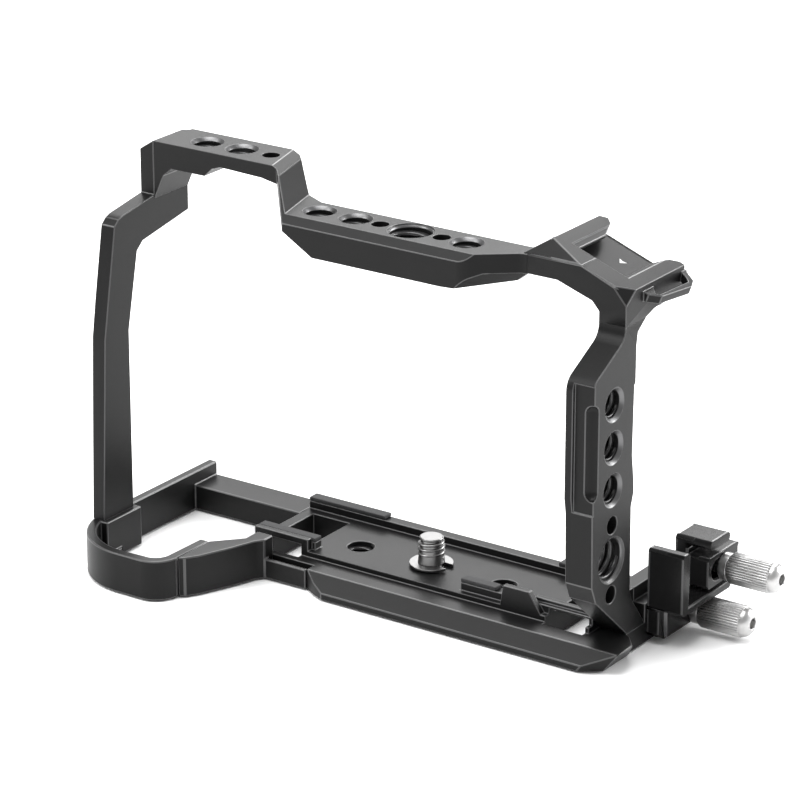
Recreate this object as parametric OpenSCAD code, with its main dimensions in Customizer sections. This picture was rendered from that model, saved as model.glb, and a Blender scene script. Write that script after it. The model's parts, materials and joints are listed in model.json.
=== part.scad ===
/* [Camera bay] */
// Clear width between the side column and the side post
bay_w = 123; // [118:1:130]
// Lens axis to the inner face of the side column
axis_to_col = 49; // [47:1:53]
// Height of the rubber seats above the bottom face
seat_z = 9.3; // [8.8:0.1:10]
// Clear height from the seats to the skirt of the top bar
bay_h = 72.6; // [71:0.1:78]

/* [Frame] */
// Thickness of the side column
col_t = 7; // [6:0.5:9]
// Thickness of the side post
post_t = 4; // [3:0.5:6]
// Height of the top bar's front face
bar_h = 8.6; // [8:0.1:11]
// Thickness of the top bar's plate behind its skirt
bar_plate = 6; // [5:0.5:7]
// Thickness of the top bar's skirt
skirt_t = 2.6; // [2:0.1:3]
// Depth of the top bar from front to back
bar_depth = 13.3; // [12.8:0.1:14]
// Distance of the top bar's front face from the middle of the foot
bar_front = 16.3; // [15.5:0.1:18]
// Width of the bevel along the front top edge
bevel_w = 1.7; // [0.5:0.1:2]
// Height of the bevel along the front top edge
bevel_h = 1.9; // [1:0.1:3]
// Step up from the top bar to the raised bar
rise = 7.8; // [5:0.2:9]
// Set-back of the raised bar behind the top bar
set_back = 9.4; // [8:0.1:11]
// Depth of the raised bar from front to back
raised_depth = 12.9; // [11.5:0.1:14]
// Thickness of the raised bar
raised_t = 3.6; // [3:0.1:4.5]
// Height of the arm that joins the top bar to the column
arm_h = 4.5; // [4:0.1:5.5]
// Front-to-back size of the arm
arm_t = 5.1; // [4:0.1:6]

/* [Threads and pins] */
// Radius of a quarter-inch thread, measured over its crests
quarter_r = 3.18; // [3.1:0.01:3.3]
// Radius of a three-eighths thread, measured over its crests
three8_r = 4.77; // [4.6:0.01:4.9]
// Radius of a locating pin hole
pin_r = 2.05; // [1.5:0.05:2.3]
// Depth of a locating pin hole
pin_deep = 3; // [2:0.25:3]
// Pin hole to three-eighths thread
pin_gap = 8.3; // [7.9:0.1:8.6]
// Spacing of the quarter-inch threads in a row
hole_pitch = 10; // [9.5:0.1:10.5]
// Width of the countersink round each thread
sink = 0.8; // [0.3:0.1:0.9]

/* [Cold shoe] */
// Outside width of the shoe across its rails
shoe_w = 23.2; // [22.6:0.1:24]
// Width between the lips
lip_gap = 12.6; // [12:0.1:13.5]
// Width of the channel under the lips
shoe_slot = 18.8; // [18.6:0.1:19.2]
// Height of the channel
shoe_slot_h = 2.1; // [2:0.1:2.4]
// Thickness of the lips
lip_t = 1.7; // [1.4:0.1:2]
// Thickness of the shoe's floor
shoe_floor = 2.3; // [1.8:0.1:3]
// Length of the lips
lip_l = 16; // [14:0.5:18]
// Depth of the sill that stops the accessory
sill = 6.5; // [5:0.5:7]
// Tilt of the shoe to the side
shoe_tilt = 20; // [15:1:22]

/* [Strap lug] */
// Clear width of the strap slot
lug_slot = 2.6; // [2:0.1:3.2]
// Length of the strap slot
lug_len = 12; // [9:0.5:12.5]
// Width of the bar round the strap slot
lug_bar = 1.5; // [1.3:0.1:2.5]
// Thickness of the strap lug
lug_t = 2.1; // [1.6:0.1:2.6]

/* [Quick release foot] */
// Width of the dovetail foot across its bottom face
foot_w = 38.1; // [37.5:0.1:38.6]
// Height of the square edge of the foot
foot_edge = 1.6; // [1.2:0.1:2]
// Height of the foot
foot_h = 5; // [4.6:0.1:5.2]
// Thickness of the floor on top of the foot
floor_t = 1.4; // [1.2:0.1:1.8]
// Overhang of the foot's nose past the side column
nose = 4.6; // [3:0.1:5]
// Thickness of the rubber seats
pad_t = 1; // [0.6:0.1:1.4]
// Length of each opening in the floor
window_w = 10.5; // [8:0.5:11]

/* [Grip tray] */
// Reach of the tray in front of the middle of the foot
tray_reach = 42.3; // [41:0.1:45]
// Radius of the tray's front
tray_r = 18.15; // [17:0.05:19]
// Radius of the tray's inner front corner
corner_r = 6.2; // [5:0.1:8]
// Height of the tray
tray_h = 9.8; // [9.4:0.1:12]
// Wall of the tray
tray_wall = 2.4; // [2:0.1:3]
// Width of the ledge inside the tray
ledge_w = 3.2; // [2.5:0.1:4]
// Thickness of the ledge inside the tray
ledge_t = 2; // [1.5:0.1:3]
// Height of the low front strip
strip_h = 4.9; // [4:0.1:5]
// Thickness of the low front strip's rim
rim_t = 1.2; // [1:0.1:1.6]

/* [Screws] */
// Radius of the camera screw's head
head_r = 6.3; // [5.5:0.1:7]
// Thickness of the camera screw's head
head_t = 2.4; // [2:0.1:2.6]
// Length of the camera screw's thread above the seats
screw_up = 4.5; // [3.5:0.1:5.5]
// Radius of the frame's small screws
m3_r = 1.25; // [1:0.05:1.5]
// Radius of the small screws' heads
m3_head = 2.1; // [1.8:0.1:2.4]
// Width of the hex key across its flats
key_af = 2.5; // [2:0.1:3]

/* [Cable clamp] */
// Width of the clamp along its screws
clamp_w = 9.2; // [8.8:0.1:11]
// Gap for the cable between the front wall and the jaw
cable_gap = 8.2; // [7:0.1:10]
// Length of the jaw
jaw_l = 13.6; // [13:0.1:15]
// Height of the jaw
jaw_h = 7.6; // [7:0.1:9]
// Thickness of the clamp's walls
clamp_wall = 3; // [2.6:0.1:4]
// Thickness of the clamp's lower block
block_t = 4.4; // [4:0.1:5.5]
// Travel of the jaw away from the cable
jaw_travel = 3; // [2:0.25:4]
// Radius of the clamp screws
stud_r = 2; // [1.5:0.1:2]
// Radius of the clamp knobs
knob_r = 3.75; // [3.4:0.05:3.8]
// Length of a knob's knurled barrel
knob_l = 10.4; // [8:0.2:14]
// Ribs round a knurled barrel
knurls = 30; // [18:1:32]
// Thickness of a clamp washer
washer_t = 2; // [0.8:0.1:2.4]

/* [Fits] */
// Radial clearance of a turning or fixed shank in its hole
fit = 0.06; // [0.03:0.01:0.1]
// Gap beside a sliding part
slide_fit = 0.25; // [0.15:0.05:0.4]

/* [Hidden] */
$fn = 48;
eps = 0.01;
big = 300;

black = [0.11, 0.11, 0.12];
dark = [0.08, 0.08, 0.09];
steel = [0.78, 0.78, 0.80];
rubber = [0.04, 0.04, 0.04];

col_in = axis_to_col;
col_out = col_in + col_t;
post_in = axis_to_col - bay_w;
post_out = post_in - post_t;
bar_low = seat_z + bay_h;
top_z = bar_low + bar_h;
raised_z = top_z + rise;

front_y = -bar_front;
back_y = front_y + bar_depth;
row_y = back_y - 5.6;
slope_x = post_in + 44.1;
leg_x = slope_x - rise;
raised_front = front_y + set_back;
raised_back = raised_front + raised_depth;
raised_row = raised_front + raised_depth / 2;
raised_low = raised_z - raised_t;
raised_x = leg_x - 25.2;
facet_x = 18.5;
facet_turn = 38.5;
facet_r = 5;
facet_in_r = 3;

arm_front = -8;
arm_back = arm_front + arm_t;
arm_x = col_in - 18.5;
arm_low = top_z - arm_h;
seam_z = bar_low - 3.3;
head_back = 0.7;
slant = 28.5;
slant_z = seam_z - 2.65;
fillet_r = 4.2;
round_r = 4;

shoe_x = col_in - 3.7;
shoe_z = top_z - 0.4;
shoe_front = arm_front + 0.5;
shoe_back = arm_front + sill + lip_l + 2.2;
shoe_deep = lip_t + shoe_slot_h;

col_y = -12;
col_front = col_y - 9;
col_back = col_y + 8.4;
col_hole = bar_low - 19.9;
col_38 = foot_h + 20.45;
foot_front = -4.85;
foot_back = 2.9;
notch_low = col_hole - 2 * hole_pitch + 0.5;
notch_top = col_hole + 1;
groove_r = 2;

floor_z = foot_h + floor_t;
floor_front = -9.6;
neck_y = foot_w / 2 - (foot_h - foot_edge);
rail_top = seat_z - pad_t;
rail_y = -8;
rail_d = 2.6;
base_left = post_in + 30;
win_left = base_left + 3;
win_right = col_in - 1 - window_w;
win_front = -10.8;
win_back = 10;
win_top = rail_top - 0.6;
strip_x = base_left + 19.5;
strip_y = -16.2;
strip_back = -12.8;
rear_rail = 12.5;
rear_rail_d = 3;
wing_back = 25;
wing_top = seat_z + 3.5;

seam_x = post_in + 27.5;
bend = [base_left + 7.8, strip_y];
tray_x = post_out + tray_r;
tray_y = -tray_reach + tray_r;
corner_x = seam_x - corner_r;
corner_y = -tray_reach + corner_r;
drop = strip_y - corner_y;
tray_back = 17.5;
tray_rear_w = 9;

post_pair = [-2.6, 2.6];
foot_pair = [0, 4.6];
wall_pair = [3.2, 8.2];

key_r = key_af / sqrt(3);
key_x = base_left + 17.5;
key_y = 12.6;
key_z = key_r + 0.35;
magnet_row = [12, 34];

clamp_y = 3.9;
block_low = 1.4;
u_low = 8;
u_floor = 1.7;
jaw_z = u_low + u_floor + 1;
jaw_y = clamp_y + clamp_wall + cable_gap;
slot_r = stud_r + 0.3;
stud_y = jaw_y + jaw_travel + slot_r + 1.7;
stud_z = jaw_z + jaw_h / 2;
stud_wall = 3.4;
lock_y = clamp_y + 14.15;
lock_z = 4;
cheek = clamp_wall + 0.2;
head_low = jaw_z + jaw_h + 1.6;
head_h = 2.2;
dowel_row = [3, 8];
clamp_end = col_out + clamp_w;
block_end = col_out + block_t;
running = 0.1;

module along_x(x, l) {
    translate([x, 0, 0]) rotate([90, 0, 90]) linear_extrude(l) children();
}

module along_y(y, l) {
    translate([0, y + l, 0]) rotate([90, 0, 0]) linear_extrude(l) children();
}

// Half space past the plane through p whose normal points to azimuth and up
module past(p, azimuth, up = 0) {
    translate(p) rotate([0, -up, azimuth]) translate([0, -big / 2, -big / 2]) cube(big);
}

module slot2d(l, r) {
    square([l - 2 * r, 2 * r], center = true);
    for (s = [-1, 1]) translate([s * (l / 2 - r), 0]) circle(r);
}

module box2d(a, b) {
    translate(a) square(b - a);
}

module rounded2d(a, b, r) {
    box2d(a + [r, 0], b - [r, 0]);
    box2d(a + [0, r], b - [0, r]);
    for (x = [a[0] + r, b[0] - r], y = [a[1] + r, b[1] - r]) translate([x, y]) circle(r);
}

// Threaded hole that enters at p and goes down, with a countersink
module thread(p, r, deep) {
    translate(p - [0, 0, deep]) cylinder(r = r, h = deep + 1);
    translate(p - [0, 0, sink]) cylinder(r1 = r, r2 = r + sink, h = sink + eps);
}

// Three-eighths thread with a step at its mouth and a pin hole on each side
module located_thread(p, deep, along) {
    translate(p - [0, 0, deep]) cylinder(r = three8_r, h = deep + 1);
    translate(p - [0, 0, sink]) cylinder(r1 = three8_r, r2 = three8_r + 0.25, h = sink / 2 + eps);
    translate(p - [0, 0, sink / 2]) cylinder(r = three8_r + 0.55, h = 1);
    for (s = [-1, 1]) pin_hole(p + s * pin_gap * along);
}

module pin_hole(p) {
    translate(p - [0, 0, pin_deep]) cylinder(r = pin_r, h = pin_deep + 1);
}

module in_column(y, z) {
    translate([col_out, y, z]) rotate([0, 90, 0]) children();
}

// Countersunk or socket screw along +Z, with its head's face at z = 0
module small_screw(l) {
    difference() {
        union() {
            cylinder(r = m3_head, h = 1.6);
            cylinder(r = m3_r, h = l);
        }
        translate([0, 0, -eps]) cylinder(r = 0.9, h = 1, $fn = 6);
    }
}

module small_screw_hole(l) {
    translate([0, 0, -1]) cylinder(r = m3_head + fit, h = 2.6 + fit);
    cylinder(r = m3_r + fit, h = l + fit);
}

// Outline of the whole top bar seen from the front
module bar_elevation() {
    polygon([
        [post_in, raised_z], [slope_x + 1, raised_z], [slope_x + 1, top_z], [arm_x, top_z],
        [arm_x, arm_low], [arm_x - 1, arm_low - 0.4], [arm_x - 4.5, bar_low + 0.8],
        [13, bar_low], [slope_x + 8, bar_low], [slope_x - 0.2, bar_low + 4.8],
        [leg_x - 0.5, raised_low - 0.8], [leg_x - 5, raised_low],
        [raised_x + 8.5, raised_low + 0.4], [raised_x + 6, raised_low - 0.4],
        [raised_x + 3.8, raised_low - 2.5], [post_in + 5.2, raised_low - 2.5],
        [post_in + 2.8, raised_low - 4.5], [post_in, raised_low - 10.6]
    ]);
}

// Outline of the whole top bar seen from above, with round corners at both ends of its facet
module bar_plan() {
    way = [cos(facet_turn), sin(facet_turn)];
    corner = [facet_x + 0.3, front_y];
    foot = corner + (arm_front - front_y) / sin(facet_turn) * way;
    out = facet_r * tan(facet_turn / 2);
    in = facet_in_r * tan(facet_turn / 2);
    difference() {
        union() {
            polygon([
                [post_in, raised_front], [leg_x - 0.6, raised_front], [slope_x - 0.2, front_y],
                corner - [out, 0], corner + out * way, foot - in * way, foot + [in, 0], [arm_x, arm_front],
                [arm_x, arm_back], [slope_x + 1.5, back_y], [slope_x - 4.3, back_y + 3],
                [leg_x - 3.4, raised_back], [post_in, raised_back]
            ]);
            translate(corner + [-out, facet_r]) circle(facet_r);
        }
        translate(foot + [in, -facet_in_r]) circle(facet_in_r);
    }
}

// Slope from the raised bar to the low one, turned a little to the back, and the chamfer above it
module leg_slope() {
    difference() {
        union() {
            past([leg_x, raised_front, raised_z], 14.8, 33.4);
            past([leg_x - 1.8, raised_front, raised_z], 14.8, 61.7);
        }
        translate([-big / 2, -big / 2, top_z - big]) cube(big);
    }
}

// Slanted underside behind the facet at the low bar's right end
module facet_under() {
    difference() {
        past([facet_x - 1, front_y, bar_low + 1.2], -38, -37);
        translate([-big / 2, -big / 2, arm_low - 0.1]) cube(big);
    }
}

// Round notch in the rear corner where the raised bar meets the side post
module corner_notch() {
    translate([post_in, raised_back, raised_z - 3]) cylinder(r = 1.6, h = 4);
}

module top_bar() color(black) difference() {
    intersection() {
        along_y(front_y - 1, big / 3) bar_elevation();
        linear_extrude(big) bar_plan();
    }
    past([0, front_y, top_z - bevel_h], -90, atan(bevel_w / bevel_h));
    leg_slope();
    facet_under();
    corner_notch();
    difference() {
        translate([slope_x + 9, front_y + skirt_t, bar_low - 1])
            cube([facet_x - slope_x - 17, bar_depth, bar_h - bar_plate + 1]);
        translate([0, row_y, bar_low - 1]) cylinder(r = three8_r + 1.5, h = bar_h);
    }
    located_thread([0, row_y, top_z], bar_h + 1, [1, 0, 0]);
    for (n = [-2.5, -1.5, 1.5]) thread([n * hole_pitch, row_y, top_z], quarter_r, bar_h + 1);
    for (n = [0, 1]) thread([raised_x + n * hole_pitch, raised_row, raised_z], quarter_r, 2 * raised_t);
    pin_hole([raised_x + hole_pitch + pin_gap, raised_row, raised_z]);
    for (y = post_pair) post_screw_at(y) small_screw_hole(8);
}

module post_screw_at(y) {
    translate([post_out, raised_row + y, raised_z - 4.2]) rotate([0, 90, 0]) children();
}

module post_screws() color(steel) {
    for (y = post_pair) post_screw_at(y) small_screw(8);
}

// Outline of the arm under the shoe, seen from the front
module arm_elevation() {
    fall = tan(shoe_tilt);
    polygon([
        [arm_x, top_z], [shoe_x - 1, top_z], [col_out, top_z - 0.8 - (col_out - shoe_x) * fall],
        [col_out, seam_z], [col_in, seam_z], [col_in, bar_low - 0.9], [col_in - 1.8, bar_low + 1.1],
        [col_in - 10.8, arm_low], [arm_x, arm_low]
    ]);
}

module in_shoe() {
    translate([shoe_x, 0, shoe_z]) rotate([0, shoe_tilt, 0]) children();
}

module shoe_block() {
    half = shoe_w / 2;
    floor_back = shoe_back - 0.9;
    translate([0, 0, -shoe_deep - shoe_floor]) linear_extrude(shoe_deep + shoe_floor)
        polygon([
            [-half, shoe_front], [half + 3, shoe_front], [half + 3, shoe_back],
            [half - 1.7, shoe_back], [half - 2.7, floor_back], [2.8 - half, floor_back],
            [1.9 - half, shoe_back], [-half, shoe_back - 1.4]
        ]);
}

module shoe_cut() {
    half = shoe_w / 2;
    sill_back = arm_front + sill;
    bevel = 0.8;
    translate([-shoe_slot / 2, sill_back, -shoe_deep]) cube([shoe_slot, big, shoe_slot_h]);
    translate([-lip_gap / 2, sill_back, -shoe_deep]) cube([lip_gap, big, big]);
    along_y(sill_back, big) polygon([
        [-lip_gap / 2, -bevel], [-lip_gap / 2 - 1.9 * bevel, 0.1],
        [lip_gap / 2 + 1.9 * bevel, 0.1], [lip_gap / 2, -bevel]
    ]);
    translate([0, 0, -shoe_deep]) linear_extrude(big) polygon([
        [lip_gap / 2 - 0.3, shoe_back - 6.7], [lip_gap / 2 + 1.9, shoe_back - 1.6],
        [half - 1.6, shoe_back + 0.1], [1.6 - half, shoe_back + 0.1],
        [-lip_gap / 2 - 1.9, shoe_back - 1.6], [0.3 - lip_gap / 2, shoe_back - 6.7]
    ]);
}

// Lug whose slot runs along the shoe's side
module strap_lug() {
    root = shoe_w / 2 + 0.2;
    inner = root + lug_slot;
    outer = inner + lug_bar;
    front = 2.2;
    back = front + lug_len;
    translate([0, 0, -lug_t - 1.2]) linear_extrude(lug_t) difference() {
        polygon([
            [root - 1, front - 3.3], [root + 1.4, front - 3.1], [outer - 0.6, front - 0.6],
            [outer + 0.7, back - 2], [outer - 0.5, back + 0.6], [root + 0.3, back + 2.6],
            [root - 1, back + 2.4]
        ]);
        polygon([
            [root - 1.1, front + 2], [root + 2, front - 1], [inner + 0.1, front - 0.5],
            [inner + 0.6, back - 1.2], [root + 2, back - 0.1], [root - 1.1, back + 1.7]
        ]);
    }
}

// Hollow under the arm behind the column's head
module arm_under() {
    along_x(arm_x - 1, big) polygon([
        [head_back, seam_z - 1], [head_back, seam_z], [head_back + 3.3, seam_z + 1],
        [head_back + 5.5, seam_z + 1.2], [big, seam_z + 1.2], [big, seam_z - 1]
    ]);
}

module cold_shoe() color(black) difference() {
    rail_top_left = [shoe_x, shoe_z] + shoe_w / 2 * [-cos(shoe_tilt), sin(shoe_tilt)];
    union() {
        difference() {
            intersection() {
                along_y(arm_front, big / 3) arm_elevation();
                linear_extrude(big) polygon([
                    [arm_x, arm_front], [col_out, arm_front], [col_out, head_back + 6],
                    [col_in - 10, head_back + 6], [arm_x, arm_back]
                ]);
            }
            arm_under();
        }
        difference() {
            union() {
                in_shoe() shoe_block();
                along_y(arm_front, arm_t) polygon([
                    [arm_x - 1.3, top_z], [arm_x - 1.3, top_z + 0.1], rail_top_left - [0.2, 0.2],
                    rail_top_left + [2, -1.5], rail_top_left + [2, top_z - 1 - rail_top_left[1]], [arm_x, top_z]
                ]);
            }
            past([0, arm_front + 0.3, top_z], -90, 47);
            past([col_out, 0, 0], 0);
        }
        in_shoe() strap_lug();
    }
    in_shoe() shoe_cut();
    past([col_out - 2.8, arm_front + 0.8, top_z - 3.3], -32, 36);
}

// Outline of the column seen from the side, without the curves at its head
module column_outline() {
    down = [-cos(slant), -sin(slant)];
    bend_in = (90 - slant) / 2;
    knee = [col_front, slant_z - (arm_front - col_front) * tan(slant)];
    polygon([
        [arm_front, seam_z], [arm_front, slant_z + fillet_r * tan(bend_in)],
        [arm_front, slant_z] + fillet_r * tan(bend_in) * down,
        knee - round_r * tan(bend_in) * down, knee - [0, round_r * tan(bend_in)],
        [col_front, notch_low - 1], [col_front + 0.6, notch_low - 4.6],
        [col_front + 1, col_38 - 4.2], [col_front + 2.8, col_38 - 8.4],
        [foot_front, foot_h], [foot_back, foot_h],
        [foot_back - 1.2, foot_h + 1.8], [col_back + 0.6, foot_h + 8], [col_back - 0.1, foot_h + 10],
        [col_back - 0.4, notch_low - 7], [col_back + 0.6, notch_low - 3.8],
        [col_back + 0.4, notch_low - 0.4], [col_back - 0.4, notch_low + 5.3],
        [col_back - 0.1, notch_top + 1], [col_back + 0.4, notch_top + 1.6],
        [col_back + 0.4, seam_z - 5.6], [col_back + 0.9, seam_z - 2.5], [head_back, seam_z]
    ]);
}

module column_side() {
    bend_in = (90 - slant) / 2;
    knee_z = slant_z - (arm_front - col_front) * tan(slant);
    difference() {
        union() {
            column_outline();
            translate([col_front + round_r, knee_z - round_r * tan(bend_in)]) circle(round_r);
        }
        translate([arm_front - fillet_r, slant_z + fillet_r * tan(bend_in)]) circle(fillet_r);
    }
}

// Round groove along the column's outer front edge, in a shallow recess of its front face
module edge_notch() {
    z0 = notch_low - 0.8 + groove_r;
    h = notch_top + 1 - groove_r - z0;
    translate([col_in + 1.9, col_front - 1, notch_low - 4]) cube([col_t, 1.9, 30]);
    translate([col_out - 0.4, col_front + 0.7, z0]) {
        cylinder(r = groove_r, h = h);
        sphere(groove_r);
        translate([0, 0, h]) sphere(groove_r);
    }
}

module side_column() color(black) difference() {
    union() {
        along_x(col_in, col_t) column_side();
        translate([col_in, col_back, foot_h])
            cube([col_t - clamp_wall, foot_back - col_back, wing_top - foot_h]);
    }
    edge_notch();
    in_column(col_y, 0) located_thread([-col_38, 0, 0], col_t + 1, [1, 0, 0]);
    for (n = [0:2]) in_column(col_y, 0) thread([n * hole_pitch - col_hole, 0, 0], quarter_r, col_t + 1);
}

module foot_profile() {
    half = foot_w / 2;
    polygon([
        [-half, 0], [half, 0], [half, foot_edge], [neck_y, foot_h],
        [-neck_y, foot_h], [-half, foot_edge]
    ]);
}

module foot_plan() {
    half = foot_w / 2;
    tip = col_out + nose;
    polygon([
        [base_left, half], [col_out, half], [col_out, foot_front], [col_out + 1.5, foot_front - 1],
        [tip - 0.4, floor_front + 0.4], [tip, -neck_y], [tip, -half], [strip_x + 6.4, -half],
        [strip_x + 3.2, 1.4 - half], [strip_x, -neck_y], [strip_x, strip_back], [base_left, strip_back]
    ]);
}

// Dovetail foot, whose undercut nose reaches past the side column
module foot() {
    lean = nose - 0.6;
    under = [col_out + nose - lean, -neck_y, 0];
    difference() {
        intersection() {
            along_x(base_left, big) foot_profile();
            linear_extrude(foot_h) foot_plan();
        }
        past(under, 0, -atan(lean / foot_h));
        past(under, -56, -24.1);
    }
}

// Rails that carry the rubber seats, and the tabs that keep the camera from turning
module rails() {
    for (x = [[base_left, strip_x - 3], [13.5, col_in]])
        translate([x[0], rail_y, foot_h]) cube([x[1] - x[0], rail_d, rail_top - foot_h]);
    translate([base_left, rear_rail, foot_h]) cube([col_in - base_left, rear_rail_d, rail_top - foot_h]);
    translate([33, rail_y + 1.1, foot_h]) cube([col_in - 33, rail_d - 1.1, seat_z - 0.1 - foot_h]);
    along_y(floor_front, rail_y - floor_front) {
        polygon([
            [25, foot_h], [26, seat_z + 1.9], [33, seat_z + 1.9], [36.2, floor_z], [36.2, foot_h]
        ]);
        box2d([base_left, foot_h], [strip_x - 4, seat_z]);
    }
}

// Wing behind the column, which carries the cable clamp
module wing() {
    translate([col_in, foot_back, 0]) cube([col_t, wing_back - foot_back, wing_top - 3.3]);
    translate([col_in, foot_back, 0]) cube([col_t - clamp_wall, wing_back - foot_back, wing_top]);
}

module lock_axis(x) {
    translate([x, lock_y, lock_z]) rotate([0, 90, 0]) children();
}

module stud_axis(x) {
    translate([x, stud_y, stud_z]) rotate([0, 90, 0]) children();
}

module base_plate() color(black) difference() {
    union() {
        foot();
        translate([0, 0, foot_h]) linear_extrude(floor_t) box2d([base_left, floor_front], [col_in, neck_y]);
        rails();
        wing();
    }
    translate([win_left, win_front, -1]) cube([window_w, win_back - win_front, win_top + 1]);
    translate([win_right, win_front, -1]) cube([window_w, win_back - win_front, win_top + 1]);
    translate([0, 0, -1]) cylinder(r = head_r + 0.4, h = head_t + 1.4);
    cylinder(r = quarter_r + 0.12, h = big);
    for (s = [-1, 1]) translate([s * 2 * hole_pitch, 0, 0]) mirror([0, 0, 1]) thread([0, 0, 0], quarter_r, big);
    key_slot();
    for (y = foot_pair) tray_screw_at(y) small_screw_hole(12);
    lock_axis(col_out - 6.5) cylinder(r = stud_r + fit, h = big);
    for (y = dowel_row) dowel_at(y) cylinder(r = 1 + fit, h = 6);
}

module key_slot() {
    w = key_af + 0.8;
    d = key_z + key_r + 0.3;
    translate([key_x - w / 2, key_y - w / 2, -1]) cube([44 + w, w, d + 1]);
    translate([key_x - w / 2, 0, -1]) cube([w, key_y, d + 1]);
    for (x = magnet_row) translate([key_x + x, key_y, 0]) cylinder(r = 2 + fit, h = d + 1.2);
}

module hex_key() color(steel) {
    translate([key_x + 2, key_y, key_z]) rotate([0, 90, 0]) rotate(30) cylinder(r = key_r, h = 41.5, $fn = 6);
    translate([key_x, key_y - 2, key_z]) rotate([90, 0, 0]) cylinder(r = key_r, h = 10, $fn = 6);
    translate([key_x + 2, key_y - 2, key_z]) intersection() {
        rotate_extrude() translate([2, 0]) rotate(30) circle(key_r, $fn = 6);
        translate([-6, 0, -3]) cube([6, 6, 6]);
    }
}

module key_magnets() color(steel) {
    for (x = magnet_row) translate([key_x + x, key_y, key_z + key_r + 0.3]) cylinder(r = 2, h = 1.2);
}

module camera_screw() color(steel) difference() {
    union() {
        translate([0, 0, 0.2]) cylinder(r = head_r, h = head_t);
        translate([0, 0, 0.2]) cylinder(r = quarter_r, h = floor_z + 0.1);
        translate([0, 0, floor_z]) cylinder(r = quarter_r - 0.5, h = 1.2);
        translate([0, 0, floor_z + 1]) cylinder(r = quarter_r, h = seat_z + screw_up - floor_z - 1.6);
        translate([0, 0, seat_z + screw_up - 0.6]) cylinder(r1 = quarter_r, r2 = quarter_r - 0.6, h = 0.6);
    }
    translate([-head_r - 1, -0.8, -1]) cube([2 * head_r + 2, 1.6, 2.2]);
    translate([0, 0, -1]) cylinder(r = 2.3, h = 3.4, $fn = 6);
}

module screw_clip() color(steel) translate([0, 0, floor_z + 0.35]) linear_extrude(0.6) difference() {
    circle(quarter_r + 2);
    circle(quarter_r - 0.45);
    box2d([0, -1.4], [big, 1.4]);
}

module rail_pads() color(rubber) {
    for (x = [[base_left, strip_x - 3], [13.5, 23]])
        translate([x[0], rail_y, rail_top]) cube([x[1] - x[0], rail_d, pad_t]);
}

module rear_pads() color(rubber) {
    for (x = [base_left, col_in - 22])
        translate([x, rear_rail, rail_top]) cube([22, rear_rail_d, pad_t]);
}

// The wall that runs from the foot's front to the tray
module grip_wall() color(black) difference() {
    union() {
        linear_extrude(strip_h) box2d([bend[0] - 1, strip_y], [strip_x, strip_y + rim_t]);
        linear_extrude(rim_t + 0.4) box2d([bend[0] - 1, strip_y], [strip_x, strip_back]);
        linear_extrude(tray_h) polygon([
            bend, bend - [1.4, 0.1 * drop], bend - [3.7, 0.437 * drop], bend - [6.8, 0.814 * drop],
            bend - [8.8, 0.965 * drop], [seam_x, corner_y], [seam_x, tray_y],
            [bend[0] - 4.4, strip_y - 1.5], [bend[0] - 4.4, strip_back], [bend[0], strip_back]
        ]);
    }
    for (y = wall_pair) wall_screw_at(y) small_screw_hole(4);
}

module wall_screw_at(y) {
    translate([seam_x - tray_wall, corner_y + y, tray_h / 2]) rotate([0, 90, 0]) children();
}

module wall_screws() color(steel) {
    for (y = wall_pair) wall_screw_at(y) small_screw(4);
}

module tray_ring(inset, back) {
    intersection() {
        union() {
            translate([tray_x, tray_y]) circle(tray_r - inset);
            translate([corner_x, corner_y]) circle(corner_r - inset);
            box2d([tray_x, inset - tray_reach], [corner_x, tray_y]);
            box2d([tray_x, corner_y], [seam_x - inset, big]);
            box2d([post_out + inset, tray_y], [tray_x + 1, big]);
        }
        box2d([-big, -big], [seam_x - inset, back]);
    }
}

module grip_tray() color(black) difference() {
    union() {
        linear_extrude(tray_h) difference() {
            tray_ring(0, tray_y);
            tray_ring(tray_wall, big);
        }
        linear_extrude(ledge_t) difference() {
            tray_ring(0, tray_y);
            tray_ring(tray_wall + ledge_w, big);
        }
        linear_extrude(tray_h) box2d([post_out, tray_y], [post_out + tray_wall, tray_back]);
        linear_extrude(floor_z) box2d([post_out, tray_back - tray_rear_w], [base_left, tray_back]);
        linear_extrude(tray_h) intersection() {
            tray_ring(0, big);
            box2d([post_out, tray_y - 5], [post_in + 1.2, tray_y + 8]);
        }
    }
    for (y = foot_pair) post_foot_at(y) small_screw_hole(tray_h + 6);
    for (y = foot_pair) tray_screw_at(y) small_screw_hole(12);
    for (y = wall_pair) wall_screw_at(y) small_screw_hole(4);
}

module post_foot_at(y) {
    translate([post_out + post_t / 2 + 0.1, tray_y - 1 + y, 0]) children();
}

module post_foot_screws() color(steel) {
    for (y = foot_pair) post_foot_at(y) small_screw(tray_h + 5);
}

module tray_screw_at(y) {
    translate([base_left - 5, tray_back - 6 + y, foot_h / 2]) rotate([0, 90, 0]) children();
}

module tray_screws() color(steel) {
    for (y = foot_pair) tray_screw_at(y) small_screw(11);
}

module tray_pad() color(rubber) translate([0, 0, ledge_t]) linear_extrude(pad_t) difference() {
    tray_ring(tray_wall + 0.1, tray_y - 6);
    tray_ring(tray_wall + ledge_w - 0.3, big);
}

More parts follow.
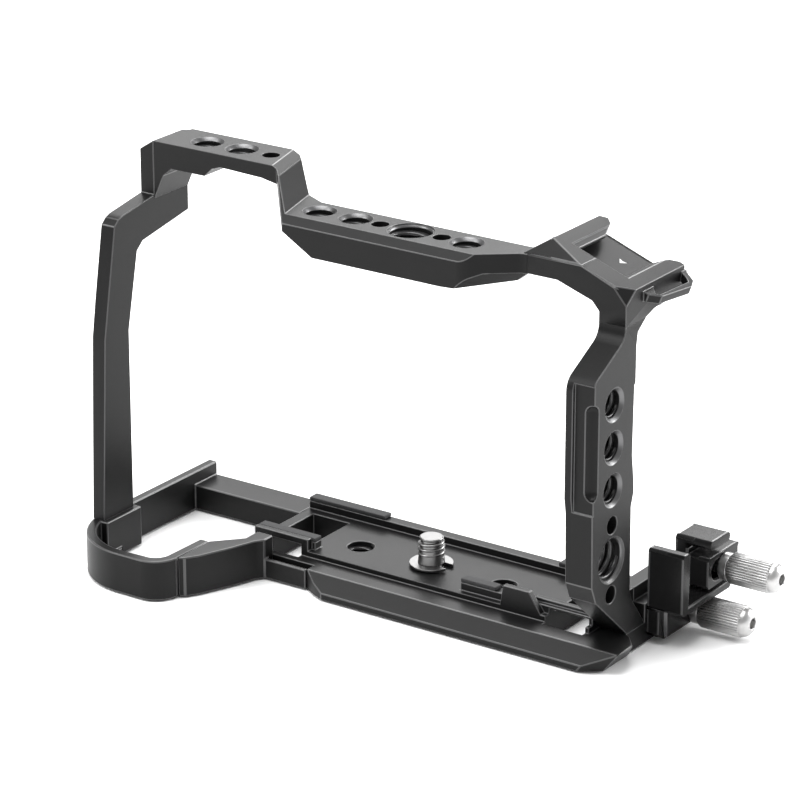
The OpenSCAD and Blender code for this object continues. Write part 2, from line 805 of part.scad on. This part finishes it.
// Strap that rises from the tray and bends back to the raised bar
module side_post() color(black) difference() {
    intersection() {
        along_x(post_out, post_t) polygon([
            [raised_back, raised_z], [raised_front, raised_z], [raised_front, seam_z + 6.5],
            [raised_front - 11.8, seam_z + 4.5], [raised_front - 13.4, seam_z + 3.9],
            [raised_front - 15, seam_z + 2.5], [raised_front - 19.6, seam_z - 24],
            [tray_y - 4.6, tray_h], [tray_y + 6.6, tray_h],
            [raised_front - 10.6, seam_z - 24], [raised_front - 6.8, seam_z - 5.5],
            [raised_front - 4.6, seam_z - 3.6], [raised_back, seam_z - 0.5]
        ]);
        union() {
            translate([tray_x, tray_y, 0]) cylinder(r = tray_r, h = big);
            translate([-big / 2, tray_y, 0]) cube(big);
        }
    }
    past([post_in, 0, raised_z], 180, atan(post_t / 2.6));
    corner_notch();
    for (y = post_pair) post_screw_at(y) small_screw_hole(8);
    for (y = foot_pair) post_foot_at(y) small_screw_hole(tray_h + 6);
}

module clamp_body() color(dark) difference() {
    union() {
        difference() {
            along_x(col_out, block_t) rounded2d([clamp_y, block_low], [clamp_y + 20.2, u_low + 0.8], 1);
            past([block_end - 1.2, clamp_y, 0], -45);
        }
        along_x(col_out, clamp_w) {
            rounded2d([clamp_y, u_low], [clamp_y + clamp_wall, head_low + head_h + 0.7], 0.8);
            rounded2d([clamp_y, u_low], [stud_y + stud_wall, u_low + u_floor], 0.8);
            rounded2d([jaw_y + 0.7, head_low], [stud_y + stud_wall - 0.9, head_low + head_h], 1.05);
        }
        along_x(col_out, cheek) rounded2d([jaw_y + 0.7, u_low], [stud_y + stud_wall - 0.9, head_low + head_h], 1.05);
    }
    translate([col_out + cheek, jaw_y, head_low + 0.2]) rotate([-90, 0, 0]) cylinder(r = 0.7, h = big);
    lock_axis(col_out - 1) cylinder(r = stud_r + fit, h = big);
    stud_axis(col_out - 1) cylinder(r = stud_r + fit, h = big);
    for (y = dowel_row) dowel_at(y) cylinder(r = 1 + fit, h = 7);
}

module clamp_jaw() color(dark) along_x(col_out + cheek + slide_fit, clamp_w - cheek - slide_fit) difference() {
    rounded2d([jaw_y, jaw_z], [jaw_y + jaw_l, jaw_z + jaw_h], 0.8);
    translate([stud_y - jaw_travel / 2, stud_z]) slot2d(jaw_travel + 2 * slot_r, slot_r);
}

// Knurled knob with a domed end that holds a hexagon socket
module knob() {
    rib = 0.3;
    core = knob_r - rib;
    dome_h = 2.7;
    dome_r = (core * core + dome_h * dome_h) / (2 * dome_h);
    difference() {
        union() {
            cylinder(r = core, h = knob_l);
            for (n = [1:knurls]) rotate(n * 360 / knurls) translate([knob_r - rib * sqrt(2), 0, 0.2])
                rotate(-45) cube([rib, rib, knob_l - 0.4]);
            translate([0, 0, knob_l]) rotate_extrude() intersection() {
                translate([0, dome_h - dome_r]) circle(dome_r);
                box2d([0, -0.2], [core - 0.02, dome_h + 1]);
            }
        }
        translate([0, 0, -1]) cylinder(r = stud_r, h = knob_l - 1);
        translate([0, 0, knob_l + 0.6]) cylinder(r = 1.45, h = 5, $fn = 6);
    }
}

module washer() {
    difference() {
        cylinder(r = knob_r - 0.5, h = washer_t);
        translate([0, 0, -1]) cylinder(r = stud_r + fit, h = washer_t + 2);
    }
}

module jaw_knob() color(steel) stud_axis(clamp_end + washer_t + 2 * running) knob();

module jaw_washer() color(steel) stud_axis(clamp_end + running) washer();

module jaw_stud() color(steel) stud_axis(col_out + 0.2)
    cylinder(r = stud_r, h = clamp_w + washer_t + 2 * running + knob_l - 2.4);

module lock_knob() color(steel) lock_axis(block_end + washer_t + 2 * running) knob();

module lock_washer() color(steel) lock_axis(block_end + running) washer();

module lock_stud() color(steel) lock_axis(col_out - 6)
    cylinder(r = stud_r, h = 6 + block_t + washer_t + 2 * running + knob_l - 2.2);

module dowel_at(y) {
    translate([col_out - 3, clamp_y + y, lock_z]) rotate([0, 90, 0]) children();
}

module clamp_dowels() color(steel) {
    for (y = dowel_row) dowel_at(y) cylinder(r = 1, h = 6);
}

top_bar();
cold_shoe();
side_column();
base_plate();
grip_wall();
grip_tray();
side_post();
rail_pads();
rear_pads();
tray_pad();
camera_screw();
screw_clip();
hex_key();
key_magnets();
post_screws();
post_foot_screws();
tray_screws();
wall_screws();
clamp_body();
clamp_jaw();
jaw_stud();
jaw_knob();
jaw_washer();
lock_stud();
lock_knob();
lock_washer();
clamp_dowels();
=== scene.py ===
import json
import math

import bmesh
import bpy
import numpy as np
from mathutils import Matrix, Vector


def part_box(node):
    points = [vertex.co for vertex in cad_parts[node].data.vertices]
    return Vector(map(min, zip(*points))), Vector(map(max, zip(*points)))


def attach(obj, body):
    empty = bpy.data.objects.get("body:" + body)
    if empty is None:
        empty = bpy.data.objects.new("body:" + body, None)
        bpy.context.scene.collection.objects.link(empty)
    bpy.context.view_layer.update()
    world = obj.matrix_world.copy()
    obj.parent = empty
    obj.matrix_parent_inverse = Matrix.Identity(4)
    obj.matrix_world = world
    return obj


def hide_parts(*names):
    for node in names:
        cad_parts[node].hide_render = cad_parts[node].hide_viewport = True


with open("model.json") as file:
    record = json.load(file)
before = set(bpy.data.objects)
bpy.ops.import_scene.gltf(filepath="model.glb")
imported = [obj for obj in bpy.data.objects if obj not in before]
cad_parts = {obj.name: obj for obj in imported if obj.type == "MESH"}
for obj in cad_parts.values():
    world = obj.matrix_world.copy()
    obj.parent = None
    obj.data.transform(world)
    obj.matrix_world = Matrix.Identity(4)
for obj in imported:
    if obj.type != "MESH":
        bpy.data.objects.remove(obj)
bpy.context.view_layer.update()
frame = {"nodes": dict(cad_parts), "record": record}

nodes = frame["nodes"]
mounts = {m["name"]: m for m in frame["record"]["mounts"]}
threaded_holes = {name: m for name, m in mounts.items() if m["kind"] == "threaded_hole"}
MM = 0.001


# The camera stands where the photograph was taken from

EYE = Vector((0.4555, -0.6729, 0.3540))
AZIMUTH = math.radians(34.61)
ELEVATION = math.radians(20.67)
LENS_MM = 171.0
SENSOR_MM = 36.0


def make_camera():
    """A full-frame sensor behind a long lens, held level, that looks along the photograph's azimuth
    and elevation."""
    data = bpy.data.cameras.new("camera")
    data.lens = LENS_MM
    data.sensor_width = SENSOR_MM
    data.clip_start = 0.01
    data.clip_end = 50.0
    camera = bpy.data.objects.new("camera", data)
    camera.location = EYE
    aim = Vector((
        -math.sin(AZIMUTH) * math.cos(ELEVATION),
        math.cos(AZIMUTH) * math.cos(ELEVATION),
        -math.sin(ELEVATION),
    ))
    camera.rotation_mode = "QUATERNION"
    camera.rotation_quaternion = aim.to_track_quat("-Z", "Y")
    bpy.context.scene.collection.objects.link(camera)
    bpy.context.scene.camera = camera


make_camera()


# Meshes worked out on grids

def mesh_piece(name, points, faces, smooth=True, closed=True):
    """A mesh object from an array of points and a list of faces. Where it is closed, its faces are
    turned outwards."""
    mesh = bpy.data.meshes.new(name)
    mesh.from_pydata(np.asarray(points, float).reshape(-1, 3).tolist(), [], faces)
    if closed:
        shell = bmesh.new()
        shell.from_mesh(mesh)
        bmesh.ops.recalc_face_normals(shell, faces=shell.faces)
        shell.to_mesh(mesh)
        shell.free()
    mesh.polygons.foreach_set("use_smooth", np.full(len(mesh.polygons), smooth))
    piece = bpy.data.objects.new(name, mesh)
    bpy.context.scene.collection.objects.link(piece)
    return piece


def grid_faces(rows, columns, around_rows, around_columns):
    """Quads of a grid of points, closed round its rows and its columns where asked."""
    i = np.arange(rows if around_rows else rows - 1)[:, None]
    j = np.arange(columns if around_columns else columns - 1)[None, :]
    a = i * columns + j
    b = i * columns + (j + 1) % columns
    c = ((i + 1) % rows) * columns + (j + 1) % columns
    d = ((i + 1) % rows) * columns + j
    return np.stack([a, b, c, d], axis=-1).reshape(-1, 4).tolist()


def round_axis(centre, axis, angle, radius, height):
    """Points about an axis through a centre: the centre, plus the radius times the cosine and the sine
    of the angle along two directions square to the axis, plus the height along it."""
    along = np.asarray(axis, float) / np.linalg.norm(axis)
    start = np.array([0.0, 0.0, 1.0]) if abs(along[2]) < 0.9 else np.array([1.0, 0.0, 0.0])
    side = np.cross(start, along)
    side /= np.linalg.norm(side)
    angle, radius, height = np.broadcast_arrays(angle, radius, height)
    local = np.stack([radius * np.cos(angle), radius * np.sin(angle), height], axis=-1)
    return np.asarray(centre, float) + local @ np.stack([side, np.cross(along, side), along])


# Finishes

def new_material(name, colour, roughness, metallic):
    """A material with its principled shader, and its node tree."""
    material = bpy.data.materials.new(name)
    material.use_nodes = True
    tree = material.node_tree
    shader = tree.nodes["Principled BSDF"]
    shader.inputs["Base Color"].default_value = (*colour, 1.0)
    shader.inputs["Roughness"].default_value = roughness
    shader.inputs["Metallic"].default_value = metallic
    return material, tree, shader


def add_noise(tree, scale, detail, press=(1.0, 1.0, 1.0)):
    """Noise on object coordinates, in grains per metre. A press above one along an axis makes the
    grains that much shorter there."""
    place = tree.nodes.new("ShaderNodeTexCoord")
    mapping = tree.nodes.new("ShaderNodeMapping")
    mapping.inputs["Scale"].default_value = press
    noise = tree.nodes.new("ShaderNodeTexNoise")
    noise.inputs["Scale"].default_value = scale
    noise.inputs["Detail"].default_value = detail
    tree.links.new(place.outputs["Object"], mapping.inputs["Vector"])
    tree.links.new(mapping.outputs["Vector"], noise.inputs["Vector"])
    return noise


def vary_colour(tree, shader, noise, dark, light):
    """The base colour runs between two tones with the noise."""
    ramp = tree.nodes.new("ShaderNodeValToRGB")
    ramp.color_ramp.elements[0].position = 0.3
    ramp.color_ramp.elements[0].color = (*dark, 1.0)
    ramp.color_ramp.elements[1].position = 0.7
    ramp.color_ramp.elements[1].color = (*light, 1.0)
    tree.links.new(noise.outputs["Fac"], ramp.inputs["Fac"])
    tree.links.new(ramp.outputs["Color"], shader.inputs["Base Color"])


def vary_roughness(tree, shader, noise, low, high):
    """The roughness runs between two values with the noise."""
    reach = tree.nodes.new("ShaderNodeMapRange")
    reach.inputs["To Min"].default_value = low
    reach.inputs["To Max"].default_value = high
    tree.links.new(noise.outputs["Fac"], reach.inputs["Value"])
    tree.links.new(reach.outputs["Result"], shader.inputs["Roughness"])


def add_bump(tree, shader, noise, strength, height):
    """The noise as fine relief."""
    bump = tree.nodes.new("ShaderNodeBump")
    bump.inputs["Strength"].default_value = strength
    bump.inputs["Distance"].default_value = height
    tree.links.new(noise.outputs["Fac"], bump.inputs["Height"])
    tree.links.new(bump.outputs["Normal"], shader.inputs["Normal"])


def anodised(name, tone, roughness, sheen, metallic=0.0):
    """Bead blasted and anodised aluminium: fine even grain, faint clouds, and a mirror part as strong
    as the sheen says."""
    material, tree, shader = new_material(name, (tone, tone, tone), roughness, metallic)
    shader.inputs["Specular IOR Level"].default_value = sheen
    clouds = add_noise(tree, 60.0, 2.0)
    grain = add_noise(tree, 9000.0, 2.0)
    vary_colour(tree, shader, clouds, (tone * 0.88,) * 3, (tone * 1.12, tone * 1.12, tone * 1.15))
    vary_roughness(tree, shader, clouds, roughness - 0.04, roughness + 0.04)
    add_bump(tree, shader, grain, 0.2, 0.04 * MM)
    return material


def moulded_rubber(name):
    """Dull black rubber with a leathery grain."""
    material, tree, shader = new_material(name, (0.02, 0.02, 0.021), 0.72, 0.0)
    grain = add_noise(tree, 3500.0, 4.0)
    vary_colour(tree, shader, grain, (0.012, 0.012, 0.012), (0.024, 0.024, 0.026))
    add_bump(tree, shader, grain, 0.5, 0.12 * MM)
    return material


def plated_steel(name, tone, roughness, press=(1.0, 1.0, 1.0)):
    """Plated steel with faint marks. A press along the axis of a turned piece leaves them as turning
    marks, long round it and short along it."""
    material, tree, shader = new_material(name, (tone, tone, tone * 0.98), roughness, 1.0)
    marks = add_noise(tree, 900.0, 2.0, press)
    vary_colour(tree, shader, marks, (tone * 0.92,) * 3, (tone * 1.04, tone * 1.03, tone * 1.02))
    vary_roughness(tree, shader, marks, roughness - 0.03, roughness + 0.04)
    add_bump(tree, shader, marks, 0.05, 0.01 * MM)
    return material


def satin_nickel(name, tone, roughness):
    """Nickel plate over fine ribs: its tone alone varies a little, so that the ribs stay clear."""
    material, tree, shader = new_material(name, (tone, tone, tone * 0.98), roughness, 1.0)
    clouds = add_noise(tree, 400.0, 2.0)
    vary_colour(tree, shader, clouds, (tone * 0.94,) * 3, (tone * 1.04, tone * 1.03, tone * 1.02))
    return material


def printed_white(name):
    """White pad print with a slightly chalky face."""
    material, tree, shader = new_material(name, (0.75, 0.75, 0.74), 0.55, 0.0)
    grain = add_noise(tree, 6000.0, 2.0)
    vary_colour(tree, shader, grain, (0.68, 0.68, 0.67), (0.82, 0.82, 0.81))
    return material


frame_black = anodised("frame_black", 0.007, 0.38, 0.15)
# A lighter tone for the frame's bevels: a painted highlight along the edges
highlight_black = anodised("highlight_black", 0.04, 0.3, 0.55)
clamp_black = anodised("clamp_black", 0.009, 0.22, 0.12)
# A lighter tone for the clamp's bevels: a painted highlight along the edges
clamp_highlight = anodised("clamp_highlight", 0.05, 0.25, 0.7)
thread_black = anodised("thread_black", 0.05, 0.3, 0.5, 0.6)
rim_black = anodised("rim_black", 0.13, 0.38, 0.5, 1.0)
rubber = moulded_rubber("rubber")
nickel = plated_steel("nickel", 0.5, 0.3, (4.0, 1.0, 1.0))
knurl_nickel = satin_nickel("knurl_nickel", 0.48, 0.37)
dark_steel = plated_steel("dark_steel", 0.2, 0.34)
white_print = printed_white("white_print")


# The CAD nodes with their finish and narrow bevels, whose faces carry a painted highlight on the frame
# and the clamp

MERGE_WITHIN = 0.002 * MM
FLAT_WITHIN = math.radians(0.3)
SHARP_FROM = math.radians(19.0)
SEAM_WITHIN = 0.01 * MM

CONE_WIDTH = 0.9 * MM
CONE_REACH = 8 * MM
CONE_LEAN_LOW, CONE_LEAN_HIGH = 0.3, 0.95
MOUTH_SHARE = 0.33

# The finishes on a node: the main one, the bevels' one, which on the frame and the clamp paints a
# highlight, and the countersink cones' one
MAIN_FINISH, EDGE_HIGHLIGHT, RIM_FINISH = range(3)


def one_block_seams():
    """For each node that was milled from one block with its neighbours, the planes where it ends
    against them: an axis and a place on it."""
    bar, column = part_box("top_bar"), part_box("side_column")
    arm_side, head, heel = (0, bar[1][0]), (2, column[1][2]), (2, column[0][2])
    return {"top_bar": [arm_side], "cold_shoe": [arm_side, head], "side_column": [head, heel]}


seams = one_block_seams()


def joined_copy(name, shortest):
    """A CAD node's loose triangles merged into one mesh, in which those that lean less than a third of
    a degree to each other are one face. The sharp edges carry a bevel weight, unless they are short,
    as round a tiny hole, or lie in a seam of the milled block, which doesn't show."""
    shell = bmesh.new()
    shell.from_mesh(nodes[name].data)
    bmesh.ops.remove_doubles(shell, verts=shell.verts, dist=MERGE_WITHIN)
    bmesh.ops.dissolve_limit(shell, angle_limit=FLAT_WITHIN, verts=shell.verts, edges=shell.edges)
    weight = shell.edges.layers.float.new("bevel_weight_edge")
    for edge in shell.edges:
        if edge.is_manifold and edge.calc_length() > shortest and edge.calc_face_angle() > SHARP_FROM:
            ends = [vert.co for vert in edge.verts]
            hidden = any(all(abs(end[axis] - place) < SEAM_WITHIN for end in ends)
                         for axis, place in seams.get(name, []))
            edge[weight] = 0.0 if hidden else 1.0
    mesh = bpy.data.meshes.new(name + "_finished")
    shell.to_mesh(mesh)
    shell.free()
    mesh.polygons.foreach_set("use_smooth", np.full(len(mesh.polygons), True))
    return mesh


def countersink_faces(mesh):
    """The faces of the cones at the threaded holes' mouths: their middles lie a little outside the
    thread's radius from the hole's axis, and their normals lean between the axis and its square."""
    count = len(mesh.polygons)
    middles, normals = np.empty(count * 3), np.empty(count * 3)
    mesh.polygons.foreach_get("center", middles)
    mesh.polygons.foreach_get("normal", normals)
    middles, normals = middles.reshape(-1, 3), normals.reshape(-1, 3)
    found = np.zeros(count, bool)
    for hole in threaded_holes.values():
        axis = np.array(hole["axis"], float)
        away = middles - np.array(hole["pos_m"])
        along = away @ axis
        square = away - along[:, None] * axis
        outside = np.linalg.norm(square, axis=1) - hole["dims"]["r_mm"] * MM
        lean = np.abs(normals @ axis)
        near = (outside > 0) & (outside < CONE_WIDTH) & (np.abs(along) < CONE_REACH)
        found |= near & (lean > CONE_LEAN_LOW) & (lean < CONE_LEAN_HIGH)
    return found


def narrow_mouths(mesh, cones):
    """The edges round the cones keep a third of their bevel, so that it fits where a hole is close to
    a side."""
    corners = np.empty(len(mesh.polygons), int)
    mesh.polygons.foreach_get("loop_total", corners)
    edges = np.empty(len(mesh.loops), int)
    mesh.loops.foreach_get("edge_index", edges)
    layer = mesh.attributes["bevel_weight_edge"].data
    weights = np.empty(len(mesh.edges))
    layer.foreach_get("value", weights)
    weights[np.unique(edges[np.repeat(cones, corners)])] *= MOUTH_SHARE
    layer.foreach_set("value", weights)


def body_of_node(name):
    """The body that a CAD node belongs to."""
    for body, members in frame["record"]["behaviour"]["bodies"].items():
        if name in members:
            return body


def dressed(name, main, edge, width, shortest):
    """A CAD node with its finish, whose sharp edges have a narrow bevel that catches the light.
    The bevel's faces take the edge finish, which on the frame and the clamp is a lighter tone: a
    painted highlight.
    """
    mesh = joined_copy(name, shortest)
    for finish in [main, edge, rim_black]:
        mesh.materials.append(finish)
    cones = countersink_faces(mesh)
    narrow_mouths(mesh, cones)
    mesh.polygons.foreach_set("material_index", np.where(cones, RIM_FINISH, MAIN_FINISH))
    piece = bpy.data.objects.new(name + "_finished", mesh)
    bpy.context.scene.collection.objects.link(piece)
    bevel = piece.modifiers.new("bevel", "BEVEL")
    bevel.width = width
    bevel.segments = 2
    bevel.limit_method = "WEIGHT"
    bevel.use_clamp_overlap = False
    # The bevel faces take the edge finish: on the frame and the clamp a painted highlight
    bevel.material = EDGE_HIGHLIGHT
    flats = piece.modifiers.new("flats", "WEIGHTED_NORMAL")
    flats.weight = 100
    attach(piece, body_of_node(name))
    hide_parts(name)
    return piece


# A row: slot, main finish, edge finish (on the frame and the clamp a lighter tone that paints a
# highlight along the bevels), bevel width and shortest bevelled edge in mm, nodes
DRESS = [
    ("frame", frame_black, highlight_black, 0.16, 0.0, ["top_bar"]),
    ("frame", frame_black, highlight_black, 0.22, 0.0,
     ["cold_shoe", "side_column", "base_plate", "side_post"]),
    ("frame", frame_black, highlight_black, 0.35, 0.5, ["grip_wall", "grip_tray"]),
    ("clamp", clamp_black, clamp_highlight, 0.5, 0.3, ["clamp_body", "clamp_jaw"]),
    ("pads", rubber, rubber, 0.22, 0.0, ["rail_pads", "rear_pads", "tray_pad"]),
    ("screws", dark_steel, dark_steel, 0.08, 0.0,
     ["screw_clip", "post_screws", "post_foot_screws", "tray_screws", "wall_screws", "hex_key",
      "clamp_dowels"]),
    ("screws", nickel, nickel, 0.12, 0.0,
     ["key_magnets", "jaw_stud", "lock_stud", "jaw_washer", "lock_washer"]),
]

for slot_name, main_finish, highlight_finish, bevel_mm, shortest_mm, parts in DRESS:
    for part in parts:
        dressed(part, main_finish, highlight_finish, bevel_mm * MM, shortest_mm * MM)


# Threads

QUARTER_PITCH = 1.27 * MM
THREE_EIGHTHS_PITCH = 1.588 * MM
THREE_EIGHTHS_FROM = 4 * MM

# The ridge's trapezoid: its corners along the axis and its depth, in pitches, and which corners are
# on the crest
RIDGE_ACROSS = np.array([[-0.44, -0.1, 0.1, 0.44]])
RIDGE_CREST = np.array([[0.0, 1.0, 1.0, 0.0]])
RIDGE_DEPTH = 0.5
RIDGE_SUNK = 0.08 * MM

# Along the helix: steps and full rises that a turn has room for, and pitches left clear at an end
STEPS_A_TURN = 32
RISES_A_TURN = 3.0
END_CLEAR = 0.45

SHANK_LENGTH = 6.1 * MM
SHANK_WITHIN = 0.1 * MM
SHANK_END = 0.2 * MM


def thread_ridge(name, centre, axis, radius, pitch, low, high, inward):
    """The ridge of a screw thread: a trapezoid carried along a helix that climbs a pitch in a turn.
    Its root is sunk a hair in the wall, and its crest stands half a pitch out of the wall, which is at
    the radius in a hole and half a pitch inside it on a screw. The crest rises from the root over the
    first third of a turn and falls back over the last."""
    turns = (high - low) / pitch - 2 * END_CLEAR
    steps = int(turns * STEPS_A_TURN) + 2
    place = np.linspace(0.0, turns, steps)[:, None]
    rise = np.clip(np.minimum(place, turns - place) * RISES_A_TURN, 0.0, 1.0)
    depth = RIDGE_DEPTH * pitch
    if inward:
        root, crest = radius + RIDGE_SUNK, radius - depth
    else:
        root, crest = radius - depth - RIDGE_SUNK, radius
    radii = root + (crest - root) * rise * RIDGE_CREST
    heights = low + END_CLEAR * pitch + place * pitch + RIDGE_ACROSS * pitch
    points = round_axis(centre, axis, place * 2 * math.pi, radii, heights)
    faces = grid_faces(steps, 4, False, True)
    last = 4 * (steps - 1)
    faces += [[0, 1, 2, 3], [last + 3, last + 2, last + 1, last]]
    return mesh_piece(name, points, faces)


def hole_thread(name, hole):
    """The thread in one stated hole, from its mount: radius, wall length and place."""
    radius = hole["dims"]["r_mm"] * MM
    length = hole["dims"]["length_mm"] * MM
    pitch = THREE_EIGHTHS_PITCH if radius > THREE_EIGHTHS_FROM else QUARTER_PITCH
    piece = thread_ridge("thread_" + name, hole["pos_m"], hole["axis"], radius, pitch,
                         -length / 2, length / 2, True)
    piece.data.materials.append(thread_black)
    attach(piece, "frame")


def camera_screw_with_thread():
    """The captive screw's shank is drawn in to the root of its thread, and the thread's ridge is wound
    on it."""
    screw = dressed("camera_screw", dark_steel, dark_steel, 0.08 * MM, 0.0)
    crest = mounts["camera_thread"]["dims"]["r_mm"] * MM
    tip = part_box("camera_screw")[1][2]
    seat = tip - SHANK_LENGTH
    points = np.empty(len(screw.data.vertices) * 3)
    screw.data.vertices.foreach_get("co", points)
    points = points.reshape(-1, 3)
    radius = np.hypot(points[:, 0], points[:, 1])
    shank = (points[:, 2] > seat) & (np.abs(radius - crest) < SHANK_WITHIN)
    points[shank, :2] *= (crest - RIDGE_DEPTH * QUARTER_PITCH) / crest
    screw.data.vertices.foreach_set("co", points.reshape(-1))
    ridge = thread_ridge("camera_screw_thread", (0, 0, 0), (0, 0, 1), crest, QUARTER_PITCH,
                         seat + SHANK_END, tip - SHANK_END, False)
    ridge.data.materials.append(dark_steel)
    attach(ridge, "captive_screw")


for hole_name, hole_mount in threaded_holes.items():
    hole_thread(hole_name, hole_mount)
camera_screw_with_thread()


# The knurled knobs

RIBS = 36
STEPS_A_RIB = 12
TOOTH = 0.3 * MM
BARREL = 10.8 * MM
DOME = 2.2 * MM
DOME_RINGS = 18
BLUNT = 2.3
SOCKET = 1.3 * MM
SOCKET_CORNER = 1.1
SOCKET_RIM = 1.12
POLE = 0.02 * MM
CREASE = math.radians(50)


def knurled_knob(name, node, body):
    """A knob of revolution about its axis. Its section is a list of rings from the inner end over the
    barrel and the dome, a blunt superellipse, into the hexagon socket. On the barrel the radius falls
    by a tooth along the turn angle as the absolute value of a cosine, so there are sharp grooves
    between round ribs. In the socket it follows the flats of a hexagon."""
    low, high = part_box(node)
    centre = np.array([low[0], (low[1] + high[1]) / 2, (low[2] + high[2]) / 2])
    outer = (high[2] - low[2]) / 2
    shoulder = outer - TOOTH
    rim = math.acos((SOCKET * SOCKET_RIM / shoulder) ** (BLUNT / 2))
    lift = np.linspace(0.0, rim, DOME_RINGS)
    dome = np.stack([shoulder * np.cos(lift) ** (2 / BLUNT),
                     BARREL + DOME * np.sin(lift) ** (2 / BLUNT), 0 * lift, 0 * lift], axis=-1)
    top = dome[-1, 1]
    # Each ring has a radius, a height, a share of the tooth and a share of the hexagon
    inner_end = [[POLE, 0.0, 0, 0],
                 [shoulder - 0.3 * MM, 0.0, 0, 0]]
    barrel = [[outer - 0.15 * MM, 0.3 * MM, 1, 0],
              [outer, 0.5 * MM, 1, 0],
              [outer, BARREL - 0.35 * MM, 1, 0],
              [outer - 0.12 * MM, BARREL - 0.1 * MM, 0.8, 0]]
    socket = [[SOCKET, top - 0.1 * MM, 0, 1],
              [SOCKET, BARREL + 0.6 * MM, 0, 1],
              [POLE, BARREL + 0.4 * MM, 0, 0]]
    radius, height, tooth, hexagon = np.concatenate([inner_end, barrel, dome, socket]).T
    sides = RIBS * STEPS_A_RIB
    angle = (np.arange(sides) / sides * 2 * math.pi)[:, None]
    groove = 1 - np.abs(np.cos(angle * RIBS / 2))
    flat = math.cos(math.pi / 6) / np.cos(angle % (math.pi / 3) - math.pi / 6)
    radii = (radius - TOOTH * tooth * groove) * (1 + hexagon * (flat * SOCKET_CORNER - 1))
    points = round_axis(centre, (1.0, 0.0, 0.0), angle, radii, height)
    faces = grid_faces(sides, len(height), True, False)
    first = np.arange(sides) * len(height)
    faces += [first.tolist(), (first + len(height) - 1).tolist()]
    piece = mesh_piece(name, points, faces)
    piece.data.set_sharp_from_angle(angle=CREASE)
    piece.data.materials.append(knurl_nickel)
    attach(piece, body)
    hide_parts(node)


knurled_knob("upper_knob_knurled", "jaw_knob", "upper_knob")
knurled_knob("lower_knob_knurled", "lock_knob", "lower_knob")


# The white arrow head printed on the shoe's floor, which points to the front

SHOE_TILT = math.radians(20.0)
SHOE_FLOOR = Vector((44.0, 0.0, 86.55)) * MM
ARROW_MM = [(0.05, 8.6), (1.1, 10.2), (0.05, 9.8), (-1.0, 10.2)]
HAIR_MM = 0.02


def arrow_mark():
    """A flat arrow head: each corner goes along the tilted floor and along the shoe, and is raised and
    sunk by a hair."""
    across = Vector((math.cos(SHOE_TILT), 0, -math.sin(SHOE_TILT)))
    up = Vector((math.sin(SHOE_TILT), 0, math.cos(SHOE_TILT)))
    ring = [SHOE_FLOOR + across * u * MM + Vector((0, v * MM, 0)) for u, v in ARROW_MM]
    points = [corner + up * h * MM for h in (-HAIR_MM, HAIR_MM) for corner in ring]
    walls = [[i, i + 4, (i + 1) % 4 + 4, (i + 1) % 4] for i in range(4)]
    piece = mesh_piece("arrow_mark", points, [[0, 1, 2, 3], [7, 6, 5, 4]] + walls, smooth=False)
    piece.data.materials.append(white_print)
    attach(piece, "frame")


arrow_mark()


# The floor and the light

FLOOR_REACH = 6.0
FLOOR_DROP = 0.4 * MM
WORLD_STRENGTH = 0.6

# A row: name, place and aim in metres, size, power
LIGHTS = [
    ("back_top", (-0.5, 0.9, 0.9), (0, 0, 0.05), 0.9, 15.0),
    ("key_top", (-0.1, -0.2, 1.3), (0, 0, 0.05), 0.8, 15.0),
    ("front_left", (-0.8, -0.75, 0.95), (0, 0, 0.05), 0.7, 11.0),
    ("back_right", (0.7, 0.95, 0.44), (0, 0, 0.08), 0.6, 16.0),
]


def area_light(name, place, aim, size, power):
    """A square soft light at a place, turned towards a point."""
    data = bpy.data.lights.new(name, "AREA")
    data.shape = "SQUARE"
    data.size = size
    data.energy = power
    light = bpy.data.objects.new(name, data)
    light.location = place
    light.rotation_mode = "QUATERNION"
    light.rotation_quaternion = (Vector(aim) - Vector(place)).to_track_quat("-Z", "Y")
    bpy.context.scene.collection.objects.link(light)


def make_stage():
    """A wide white floor just under the foot, a pale world and the soft lights."""
    corners = np.array([(-1, -1, 0), (1, -1, 0), (1, 1, 0), (-1, 1, 0)]) * FLOOR_REACH
    floor = mesh_piece("floor", corners, [[0, 1, 2, 3]], smooth=False, closed=False)
    floor.data.materials.append(new_material("pale_floor", (0.95, 0.95, 0.95), 0.8, 0.0)[0])
    floor.location.z = -FLOOR_DROP
    world = bpy.data.worlds.new("world")
    bpy.context.scene.world = world
    world.use_nodes = True
    background = world.node_tree.nodes["Background"]
    background.inputs["Color"].default_value = (1.0, 1.0, 1.0, 1.0)
    background.inputs["Strength"].default_value = WORLD_STRENGTH
    for light in LIGHTS:
        area_light(*light)
    bpy.context.scene.view_settings.view_transform = "Standard"


make_stage()
